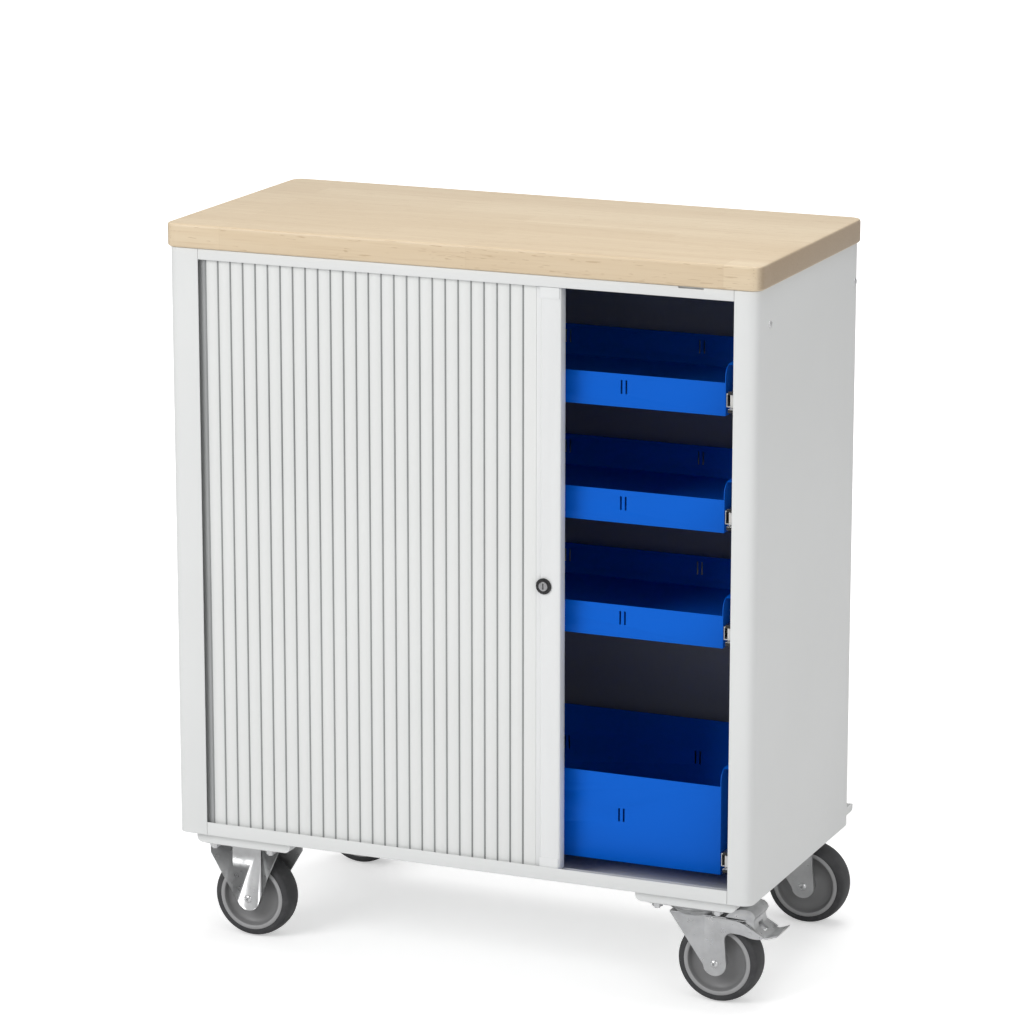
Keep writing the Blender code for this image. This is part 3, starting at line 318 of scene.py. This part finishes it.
def arc(centre, radius, start, end, steps):
    angles = [math.radians(start + (end - start) * step / steps) for step in range(steps + 1)]
    return [(centre[0] + radius * math.cos(a), centre[1] + radius * math.sin(a)) for a in angles]


def slab(outline, low, high, bm=None):
    """Outline in X and Z, made thick along Y from low to high."""
    bm = bm or bmesh.new()
    near = [bm.verts.new((u, low, v)) for u, v in outline]
    far = [bm.verts.new((u, high, v)) for u, v in outline]
    bm.faces.new(near)
    bm.faces.new(far[::-1])
    for i in range(len(outline)):
        bm.faces.new((near[i - 1], near[i], far[i], far[i - 1]))
    bmesh.ops.recalc_face_normals(bm, faces=bm.faces)
    return bm


def block(low, high, bm=None):
    outline = [(low[0], low[2]), (high[0], low[2]), (high[0], high[2]), (low[0], high[2])]
    return slab(outline, low[1], high[1], bm)


def combined(first, second, operation="DIFFERENCE"):
    """Boolean of two bmeshes, which it frees."""
    items = []
    for bm in (first, second):
        mesh = bpy.data.meshes.new("operand")
        bmesh.ops.recalc_face_normals(bm, faces=bm.faces)
        bm.to_mesh(mesh)
        bm.free()
        items.append(bpy.data.objects.new("operand", mesh))
        bpy.context.scene.collection.objects.link(items[-1])
    modifier = items[0].modifiers.new("combine", "BOOLEAN")
    modifier.operation = operation
    modifier.solver = "EXACT"
    modifier.object = items[1]
    bpy.context.view_layer.update()
    result = bmesh.new()
    result.from_mesh(items[0].evaluated_get(bpy.context.evaluated_depsgraph_get()).to_mesh())
    for item in items:
        bpy.data.meshes.remove(item.data, do_unlink=True)
    return result


# Pieces

TOP_MIDDLE = middle_of("worktop")
BASE_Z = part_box("side_panel_right")[0][2]
HALF_WIDTH = (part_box("side_panel_right")[1][0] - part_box("side_panel_left")[0][0]) / 2
HALF_DEPTH = (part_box("side_panel_right")[1][1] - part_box("side_panel_right")[0][1]) / 2


def at(x, y, z):
    """Frame place of a point given about the cabinet's centre and base."""
    return Vector((TOP_MIDDLE.x + x, TOP_MIDDLE.y + y, BASE_Z + z))


SCREW_RADIUS = 0.0042
SCREW_RAISE = 0.0016
SCREW_SINK = 0.0001
SCREW_STEPS = 24
SCREW_SHARES = ((1.0, 0.0), (0.96, 0.4), (0.8, 0.75), (0.5, 0.95), (0.3, 1.0))
SCREW_PLACES = ((-0.1346, 0.668), (0.157, 0.666))
SLIT_WIDTH = 0.030
SLIT_HEIGHT = 0.0022
SLIT_INSET = 0.065
SLIT_REACH = 0.002


def screw_head(bm, centre, side):
    """Plain domed screw head on a side panel, its axis along X."""
    angles = [math.tau * step / SCREW_STEPS for step in range(SCREW_STEPS)]
    rings = []
    for share, lift in SCREW_SHARES:
        x = centre.x + side * SCREW_RAISE * lift
        radius = SCREW_RADIUS * share
        rings.append([bm.verts.new((x, centre.y + radius * math.cos(a), centre.z + radius * math.sin(a)))
                      for a in angles])
    for near, far in zip(rings, rings[1:]):
        for i in range(SCREW_STEPS):
            bm.faces.new((near[i - 1], near[i], far[i], far[i - 1]))
    bm.faces.new(rings[0])
    bm.faces.new(rings[-1])


def dress_shell():
    for node in ("side_panel_left", "side_panel_right", "floor_panel", "back_panel",
                 "caster_channel_left", "caster_channel_right"):
        eased(node, WHITE, 0.0005, 3)
    top_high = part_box("top_panel")[1][2]
    slit_x = HALF_WIDTH - SLIT_INSET
    slit_low = at(slit_x - SLIT_WIDTH, -HALF_DEPTH - SLIT_REACH, 0.0)
    slit_high = at(slit_x, -HALF_DEPTH + SLIT_REACH, 0.0)
    notch = block((slit_low.x, slit_low.y, top_high - SLIT_HEIGHT),
                  (slit_high.x, slit_high.y, top_high + SLIT_REACH))
    node_piece("top_panel", soften(combined(from_node("top_panel"), notch), 0.0004), [WHITE])
    # The inner walls take the painted-shade grey
    for node in ("inner_wall_left", "inner_wall_right", "inner_wall_back"):
        eased(node, INSIDE_SHADE)
    for node in ("shutter_track_lower", "shutter_track_upper"):
        eased(node, TRACK)
    eased("worktop", BEECH, 0.0001, 1, 60.0, 50.0)
    screws = bmesh.new()
    for side in (-1.0, 1.0):
        for y, z in SCREW_PLACES:
            screw_head(screws, at(side * (HALF_WIDTH - SCREW_SINK), y, z), side)
    finished("panel_screws", screws, [BRIGHT_ZINC], "cart", 40.0)


GROOVE_DEPTH = 0.002
GROOVE_STEEPNESS = 0.2


def dress_curtain():
    """Slatted curtain in the node's own shape, with painted shade on its groove faces, put in the node's
    place with its transform baked in.
    """
    bm = from_node("shutter_curtain")
    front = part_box("shutter_curtain")[0][1]
    for face in bm.faces:
        middle = face.calc_center_median()
        # Steep faces in the front grooves between slats take the darker grey: painted shade in the grooves
        steep = min(abs(face.normal.x), abs(face.normal.y)) > GROOVE_STEEPNESS
        if steep and middle.y < front + GROOVE_DEPTH:
            face.material_index = 1
    mesh = bpy.data.meshes.new("shutter_curtain_finish")
    bm.to_mesh(mesh)
    bm.free()
    item = bpy.data.objects.new("shutter_curtain_finish", mesh)
    bpy.context.scene.collection.objects.link(item)
    mesh.materials.append(SLATS)
    mesh.materials.append(GROOVE_SHADE)
    mesh.shade_smooth()
    mesh.set_sharp_from_angle(angle=math.radians(18.0))
    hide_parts("shutter_curtain")
    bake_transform(item)


def dress_shutter():
    eased("shutter_rail", RAIL, 0.0007, 3)
    eased("lock_barrel", BLACK, 0.0005, 3)
    eased("lock_core", LOCK_STEEL, 0.0002)
    dress_curtain()


MARK_HALF_PITCH = 0.0029
MARK_HALF_WIDTH = 0.0011
MARK_HEIGHT = 0.016
MARK_LIFT = 0.004
MARK_REACH = 0.003
MARK_PLACES = (-0.170, 0.0, 0.170)
FRONT_DROP = 0.020
STOP_GAP = 0.0003
STOP_REACH = 0.0025
STOP_INSET = 0.0019
# Sizes of the dark strips that paint the shade on the cabinet runner's lips
SHADE_LIP_GAP = 0.0002
SHADE_LIP_REACH = 0.0016
SHADE_LIP_HEIGHT = 0.0038
SHADE_LIP_BELOW = 0.0028


def tray_marks(node):
    """Cutters for the pairs of upright slots in a tray's front and back walls."""
    low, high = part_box(node)
    middle_x = (low[0] + high[0]) / 2
    middle_z = low[2] + (high[2] - low[2] - FRONT_DROP) / 2 + MARK_LIFT
    cutters = bmesh.new()
    for wall_y in (low[1], high[1]):
        for place in MARK_PLACES:
            for side in (-1.0, 1.0):
                x = middle_x + place + side * MARK_HALF_PITCH
                block((x - MARK_HALF_WIDTH, wall_y - MARK_REACH, middle_z - MARK_HEIGHT / 2),
                      (x + MARK_HALF_WIDTH, wall_y + MARK_REACH, middle_z + MARK_HEIGHT / 2), cutters)
    return cutters


def dress_trays():
    for level in ("upper", "middle", "lower", "deep"):
        node = "tray_" + level
        node_piece(node, soften(combined(from_node(node), tray_marks(node)), 0.0004), [BLUE])
        for side in ("left", "right"):
            eased("cabinet_runner_" + level + "_" + side, ZINC, 0.0002)
            eased("tray_runner_" + level + "_" + side, ZINC, 0.0002)
            runner_end(level, side)


def runner_end(level, side):
    """White stop in front of the tray's runner, and dark strips above and below it on the cabinet's runner:
    painted shade, standing for the shadowed zinc lips of that runner.
    """
    low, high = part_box("cabinet_runner_" + level + "_" + side)
    inner_low, inner_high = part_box("tray_runner_" + level + "_" + side)
    stop = block((max(low[0], inner_low[0]) + STOP_GAP, inner_low[1] - STOP_REACH, low[2] + STOP_INSET),
                 (min(high[0], inner_high[0]) - STOP_GAP, inner_low[1] - STOP_GAP, high[2] - STOP_INSET))
    finished("stop_%s_%s" % (level, side), soften(stop, 0.0008), [WHITE_PLASTIC],
             "drawer_" + level)
    # Black blocks on the cabinet runner's front: painted shade for its shadowed lips
    shade_lips = bmesh.new()
    for base in (low[2] - SHADE_LIP_BELOW, high[2] + SHADE_LIP_BELOW - SHADE_LIP_HEIGHT):
        block((low[0] + SHADE_LIP_GAP, low[1] - SHADE_LIP_REACH, base),
              (high[0] - SHADE_LIP_GAP, low[1] - SHADE_LIP_GAP, base + SHADE_LIP_HEIGHT), shade_lips)
    finished("lips_%s_%s" % (level, side), soften(shade_lips, 0.0004), [BLACK], "cart")


WHEEL_STEPS = 96
TYRE_INNER_SHARE = 0.82
CROWN_DROP = 0.0075
CROWN_POWER = 0.45
CROWN_STEPS = 12
RIM_GAP = 0.0001
RIM_MARK = (0.0358, 0.05, 1)
HUB_RADIUS = 0.0115
DISH = ((0.0125, 0.0105), (0.016, 0.0085), (0.026, 0.0078), (0.0325, 0.0092), (0.0345, 0.0118),
        (0.0352, 0.0146))


def mirrored(half_profile):
    """A (radius, along) profile closed by its own mirror image."""
    return half_profile + [(radius, -along) for radius, along in half_profile[::-1]]


def dress_wheel(prefix):
    """Tyre and core turned finely, with a raised light ring between them."""
    centre = middle_of(prefix + "_tyre")
    low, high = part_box(prefix + "_tyre")
    radius = (high[2] - low[2]) / 2
    half = (high[1] - low[1]) / 2
    inner = radius * TYRE_INNER_SHARE
    crown = []
    for step in range(CROWN_STEPS + 1):
        angle = math.radians(-90 + 180 * step / CROWN_STEPS)
        reach = math.cos(angle) ** CROWN_POWER
        crown.append((radius - CROWN_DROP + CROWN_DROP * reach, half * math.sin(angle)))
    tyre = turned([(inner, half)] + crown[::-1] + [(inner, -half)], WHEEL_STEPS, centre)
    finished(prefix + "_tyre_turned", tyre, [TYRE], BODY_OF[prefix + "_tyre"],
             50.0, (prefix + "_tyre",))

    core_low, core_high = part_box(prefix + "_wheel_core")
    hub_half = (core_high[1] - core_low[1]) / 2
    rim = inner - RIM_GAP
    hub = [(0.0052, hub_half), (HUB_RADIUS, hub_half), (0.012, hub_half - 0.0005)]
    ring = [(0.0362, half + 0.0002), (0.0372, half + 0.0006), (rim - 0.0012, half + 0.0006),
            (rim, half - 0.0002)]
    core = turned(mirrored(hub + list(DISH) + ring), WHEEL_STEPS, centre, (RIM_MARK,))
    finished(prefix + "_core_turned", core, [CORE, RIM_RING], BODY_OF[prefix + "_wheel_core"],
             50.0, (prefix + "_wheel_core",))


# Forks and pedal: X and Z outlines about the swivel axis, or about the axle of a fixed caster

FORK_HALF = 0.024
FORK_SHEET = 0.0025
PANEL_RAISE = 0.0012
FOOT_RADIUS = 0.0145
AXLE_HEIGHT = 0.050
AXLE_TRAIL = 0.029
FIXED_WIDE = ((-0.050, 0.103), (-0.0305, 0.070))
FIXED_NARROW = ((0.025, 0.078), (0.040, 0.112))
FIXED_PANEL = (-0.020, 0.0178)
FIXED_PANEL_TOP = 0.1165
FIXED_SIDE_TOP = 0.1236
FIXED_CUT = 0.1228
SWIVEL_NOSE = -0.027
SWIVEL_SIDE_TOP = 0.1064
SWIVEL_CUT = 0.1054
NOTCH_RADIUS = 0.0095
NOTCH_HEIGHT = 0.0805
TAIL = ((0.0602, 0.0897), (0.0660, 0.0885), (0.0714, 0.0870), (0.0765, 0.0864), (0.0815, 0.0864),
        (0.0860, 0.0870), (0.0885, 0.0883), (0.0890, 0.0895), (0.0690, 0.1004), (0.0650, 0.1027),
        (0.0590, 0.1048), (0.0490, 0.1062))
PLAIN_LEG_TOP = 0.079
PLAIN_LEG_LEAN = 0.001


def shifted(bm, place):
    bmesh.ops.translate(bm, verts=bm.verts, vec=(place[0], place[1], 0.0))
    return bm


def crossing(first, second, x):
    share = (x - first[0]) / (second[0] - first[0])
    return (x, first[1] + share * (second[1] - first[1]))


def fork_sides(outline, panel, bm, handed=False):
    """Both side plates and the pressed panel that stands out of each, about the fork's axis."""
    for side in (-1.0, 1.0):
        flip = -1.0 if handed and side > 0 else 1.0
        for shape, inner, outer in ((outline, FORK_HALF - FORK_SHEET, FORK_HALF),
                                    (panel, FORK_HALF - FORK_SHEET / 2, FORK_HALF + PANEL_RAISE)):
            low, high = sorted((side * inner, side * outer))
            bm = combined(bm, slab([(flip * x, z) for x, z in shape], low, high), "UNION")
    return bm


def top_of_fork(node, place, level):
    """The part of a fork's solid above a level, about the fork's axis."""
    bm = shifted(from_node(node), (-place[0], -place[1]))
    cut = bmesh.ops.bisect_plane(bm, geom=bm.verts[:] + bm.edges[:] + bm.faces[:], dist=JOIN_DISTANCE,
                                 plane_co=(0.0, 0.0, level), plane_no=(0.0, 0.0, -1.0), clear_outer=True)
    rim = [item for item in cut["geom_cut"] if isinstance(item, bmesh.types.BMEdge)]
    bmesh.ops.holes_fill(bm, edges=rim)
    bmesh.ops.recalc_face_normals(bm, faces=bm.faces)
    return bm


def fixed_fork(prefix):
    """Bracket of a fixed caster: V sides with a raised middle panel between two bends."""
    node = prefix + "_fork"
    middle = middle_of(node)
    wide, wide_waist = FIXED_WIDE
    narrow_waist, narrow = FIXED_NARROW
    foot = arc((0.0, AXLE_HEIGHT), FOOT_RADIUS, 205, 335, 14)
    left = crossing(wide_waist, foot[0], FIXED_PANEL[0])
    right = crossing(foot[-1], narrow_waist, FIXED_PANEL[1])
    lower = [left] + foot + [right]
    outline = [(narrow[0], FIXED_SIDE_TOP), (wide[0], FIXED_SIDE_TOP), wide, wide_waist] + lower
    outline += [narrow_waist, narrow]
    panel = [(right[0], FIXED_PANEL_TOP), (left[0], FIXED_PANEL_TOP)] + lower
    bm = fork_sides(outline, panel, top_of_fork(node, middle, FIXED_CUT), True)
    node_piece(node, shifted(soften(bm, 0.0006, 3, 30.0), middle), [ZINC], 30.0)


def swivel_fork(prefix, has_brake):
    """Trailing fork, with a notch behind the leg and a tail where it carries the brake."""
    node = prefix + "_fork"
    place = middle_of(prefix + "_swivel_plate")
    foot = arc((AXLE_TRAIL, AXLE_HEIGHT), FOOT_RADIUS, 190, 360, 18)
    leg_x = AXLE_TRAIL + FOOT_RADIUS - FORK_SHEET
    if has_brake:
        back = arc((leg_x + NOTCH_RADIUS, NOTCH_HEIGHT), NOTCH_RADIUS, 180, 90, 10) + list(TAIL)
    else:
        back = [(leg_x, PLAIN_LEG_TOP), (leg_x - PLAIN_LEG_LEAN, SWIVEL_SIDE_TOP)]
    outline = [(SWIVEL_NOSE, SWIVEL_SIDE_TOP)] + foot + back
    panel = [(foot[2][0], SWIVEL_SIDE_TOP)] + foot[2:] + back
    bm = fork_sides(outline, panel, top_of_fork(node, place, SWIVEL_CUT))
    node_piece(node, shifted(soften(bm, 0.0006, 3, 30.0), place), [ZINC], 30.0)


# Radius, and height above the fork's panel
AXLE_HEAD = ((0.0016, 0.0014), (0.0019, 0.0022), (0.0032, 0.0019), (0.0045, 0.0011), (0.0050, 0.0002),
             (0.0050, -0.001), (0.0044, -0.001))


def axle_pin(prefix):
    """Axle with a fine bore and small domed heads on both sides."""
    seat = FORK_HALF + PANEL_RAISE
    profile = mirrored([(radius, seat + height) for radius, height in AXLE_HEAD])
    node_piece(prefix + "_axle", turned(profile, 40, middle_of(prefix + "_axle")), [BRIGHT_ZINC], 40.0)


BOLT_PLACE = 0.037
BOLT_LEVEL = 0.1225
BOLT_TURN = 0.2
# Washer, nut and bolt end: radius, corners, top and base below the plate
BOLT_PARTS = ((0.0078, 24, 0.0, 0.0014), (0.0064, 6, 0.0014, 0.0062), (0.0034, 16, 0.0062, 0.0085))


def caster_bolts(prefix, plate):
    """Hexagon nuts and washers under the four slots of a caster's plate."""
    middle = middle_of(plate)
    bm = bmesh.new()
    for x in (-BOLT_PLACE, BOLT_PLACE):
        for y in (-BOLT_PLACE, BOLT_PLACE):
            for radius, steps, top, base in BOLT_PARTS:
                angles = [math.tau * (step + BOLT_TURN) / steps for step in range(steps)]
                ring = [(middle.x + x + radius * math.cos(a), middle.y + y + radius * math.sin(a))
                        for a in angles]
                upper = [bm.verts.new((*point, BOLT_LEVEL - top)) for point in ring]
                lower = [bm.verts.new((*point, BOLT_LEVEL - base)) for point in ring]
                bm.faces.new(upper)
                bm.faces.new(lower[::-1])
                for i in range(steps):
                    bm.faces.new((upper[i - 1], upper[i], lower[i], lower[i - 1]))
    finished(prefix + "_bolts", bm, [BRIGHT_ZINC], "cart", 30.0)


# Pedal outlines about its pin
PEDAL_PIN = (0.072, 0.092)
PEDAL_HALF = 0.021
PEDAL_TIP = (0.0330, 0.0013)
PEDAL_TOP = (-0.005, 0.0123)
PEDAL_SHEET = (0.0010, 0.0023)
PEDAL_SLOT = ((0.0005, -0.0065, -0.012), (0.0120, 0.0065, 0.0140))
STEM = ((-0.0099, 0.0175), (-0.0033, -0.0034), (0.0073, -0.0034), (0.0020, 0.0175))
STEM_HALF = 0.0207
STEM_SLOT = ((-0.0005, -0.0070, -0.012), (0.0130, 0.0070, 0.0095))
HOOD = ((-0.0310, 0.0162), (-0.0262, 0.0215), (-0.0200, 0.0252), (-0.0125, 0.0276), (-0.0060, 0.0278),
        (0.0002, 0.0268), (0.0042, 0.0236), (0.0058, 0.0196), (0.0036, 0.0150))
HOOD_HALF = 0.023
PIN_HALF = 0.026
PIN_PROFILE = [(0.0001, PIN_HALF), (0.0025, PIN_HALF), (0.0025, -PIN_HALF), (0.0001, -PIN_HALF)]


def brake_pedal():
    """Sloping pedal plate with a slot and an upturned tip, under a raised hood, about its pin."""
    swivel = middle_of("caster_front_right_swivel_plate")
    bend = arc((0.0190, 0.0047), 0.0080, 225, 285, 5)
    upper = [PEDAL_TIP] + bend[::-1] + [PEDAL_TOP]
    lower = [(x - PEDAL_SHEET[0], z - PEDAL_SHEET[1]) for x, z in upper]
    plate = combined(slab(upper + lower[::-1], -PEDAL_HALF, PEDAL_HALF), block(*PEDAL_SLOT))
    stem = combined(slab(STEM, -STEM_HALF, STEM_HALF), block(*STEM_SLOT))
    bm = combined(plate, stem, "UNION")
    bm = combined(bm, slab(HOOD, -HOOD_HALF, HOOD_HALF), "UNION")
    bm = combined(bm, turned(PIN_PROFILE, 24, (0.0, 0.0, 0.0)), "UNION")
    soften(bm, 0.0004, 2, 30.0)
    bmesh.ops.translate(bm, verts=bm.verts, vec=(swivel.x + PEDAL_PIN[0], swivel.y, PEDAL_PIN[1]))
    node_piece("caster_front_right_brake_pedal", bm, [ZINC], 30.0)


def dress_casters():
    for corner in ("front_left", "rear_left", "front_right", "rear_right"):
        prefix = "caster_" + corner
        dress_wheel(prefix)
        axle_pin(prefix)
        if corner.endswith("right"):
            swivel_fork(prefix, corner == "front_right")
            eased(prefix + "_swivel_plate", ZINC, 0.0005)
            caster_bolts(prefix, prefix + "_swivel_plate")
        else:
            fixed_fork(prefix)
            caster_bolts(prefix, prefix + "_fork")
    brake_pedal()


# Studio

CAMERA_PLACE = (1.9699, -4.70745, 1.7554)
CAMERA_TURN = 23.05
CAMERA_PITCH = -13.60
FOCAL_SHARE = 4.3136
SENSOR = 36.0
WORLD_STRENGTH = 0.42
FLOOR_HALF = 30.0
GLOW_NEAR = 0.45
GLOW_FAR = 1.0
GLOW_START = 0.8
GLOW_END = 2.2
LAMP_AIM = (0.0, 0.0, 0.45)
# Name, place, size and power
LAMPS = (("key", (-2.2, -4.2, 3.2), 2.6, 120.0), ("fill", (3.6, -2.4, 2.2), 2.2, 30.0),
         ("top", (0.3, 0.6, 4.0), 2.4, 60.0))


def studio():
    scene = bpy.context.scene
    camera = bpy.data.objects.new("camera", bpy.data.cameras.new("camera"))
    scene.collection.objects.link(camera)
    camera.data.sensor_width = SENSOR
    camera.data.lens = SENSOR * FOCAL_SHARE
    camera.location = CAMERA_PLACE
    camera.rotation_euler = (math.radians(90 + CAMERA_PITCH), 0.0, math.radians(CAMERA_TURN))
    scene.camera = camera

    world = bpy.data.worlds.new("studio")
    scene.world = world
    world.use_nodes = True
    nodes = world.node_tree.nodes
    links = world.node_tree.links
    nodes["Background"].inputs["Color"].default_value = (1.0, 1.0, 1.0, 1.0)
    nodes["Background"].inputs["Strength"].default_value = WORLD_STRENGTH
    plain = nodes.new("ShaderNodeBackground")
    plain.inputs["Strength"].default_value = 1.0
    path = nodes.new("ShaderNodeLightPath")
    mixer = nodes.new("ShaderNodeMixShader")
    links.new(path.outputs["Is Camera Ray"], mixer.inputs["Fac"])
    links.new(nodes["Background"].outputs["Background"], mixer.inputs[1])
    links.new(plain.outputs["Background"], mixer.inputs[2])
    links.new(mixer.outputs["Shader"], nodes["World Output"].inputs["Surface"])

    bm = bmesh.new()
    bmesh.ops.create_grid(bm, x_segments=1, y_segments=1, size=FLOOR_HALF)
    mesh = bpy.data.meshes.new("floor")
    bm.to_mesh(mesh)
    bm.free()
    floor = bpy.data.objects.new("floor", mesh)
    scene.collection.objects.link(floor)
    ground = Shade("floor", (0.86, 0.86, 0.86), 0.9)
    away = ground.node("ShaderNodeVectorMath", {0: ground.place}, operation="LENGTH").outputs["Value"]
    strength = ground.scaled(away, GLOW_NEAR, GLOW_FAR, GLOW_START, GLOW_END)
    glow = ground.node("ShaderNodeEmission", {"Strength": strength})
    light_path = ground.node("ShaderNodeLightPath")
    total = ground.node("ShaderNodeAddShader")
    ground.links.new(ground.shader.outputs["BSDF"], total.inputs[0])
    ground.links.new(glow.outputs["Emission"], total.inputs[1])
    chosen = ground.node("ShaderNodeMixShader")
    ground.links.new(light_path.outputs["Is Camera Ray"], chosen.inputs["Fac"])
    ground.links.new(ground.shader.outputs["BSDF"], chosen.inputs[1])
    ground.links.new(total.outputs["Shader"], chosen.inputs[2])
    ground.links.new(chosen.outputs["Shader"], ground.nodes["Material Output"].inputs["Surface"])
    mesh.materials.append(ground.material)

    for name, place, size, power in LAMPS:
        data = bpy.data.lights.new(name, "AREA")
        data.energy = power
        data.size = size
        lamp = bpy.data.objects.new(name, data)
        scene.collection.objects.link(lamp)
        lamp.location = place
        aim = Vector(LAMP_AIM) - Vector(place)
        lamp.rotation_euler = aim.to_track_quat("-Z", "Y").to_euler()
    scene.view_settings.view_transform = "Standard"


dress_shell()
dress_shutter()
dress_trays()
dress_casters()
studio()
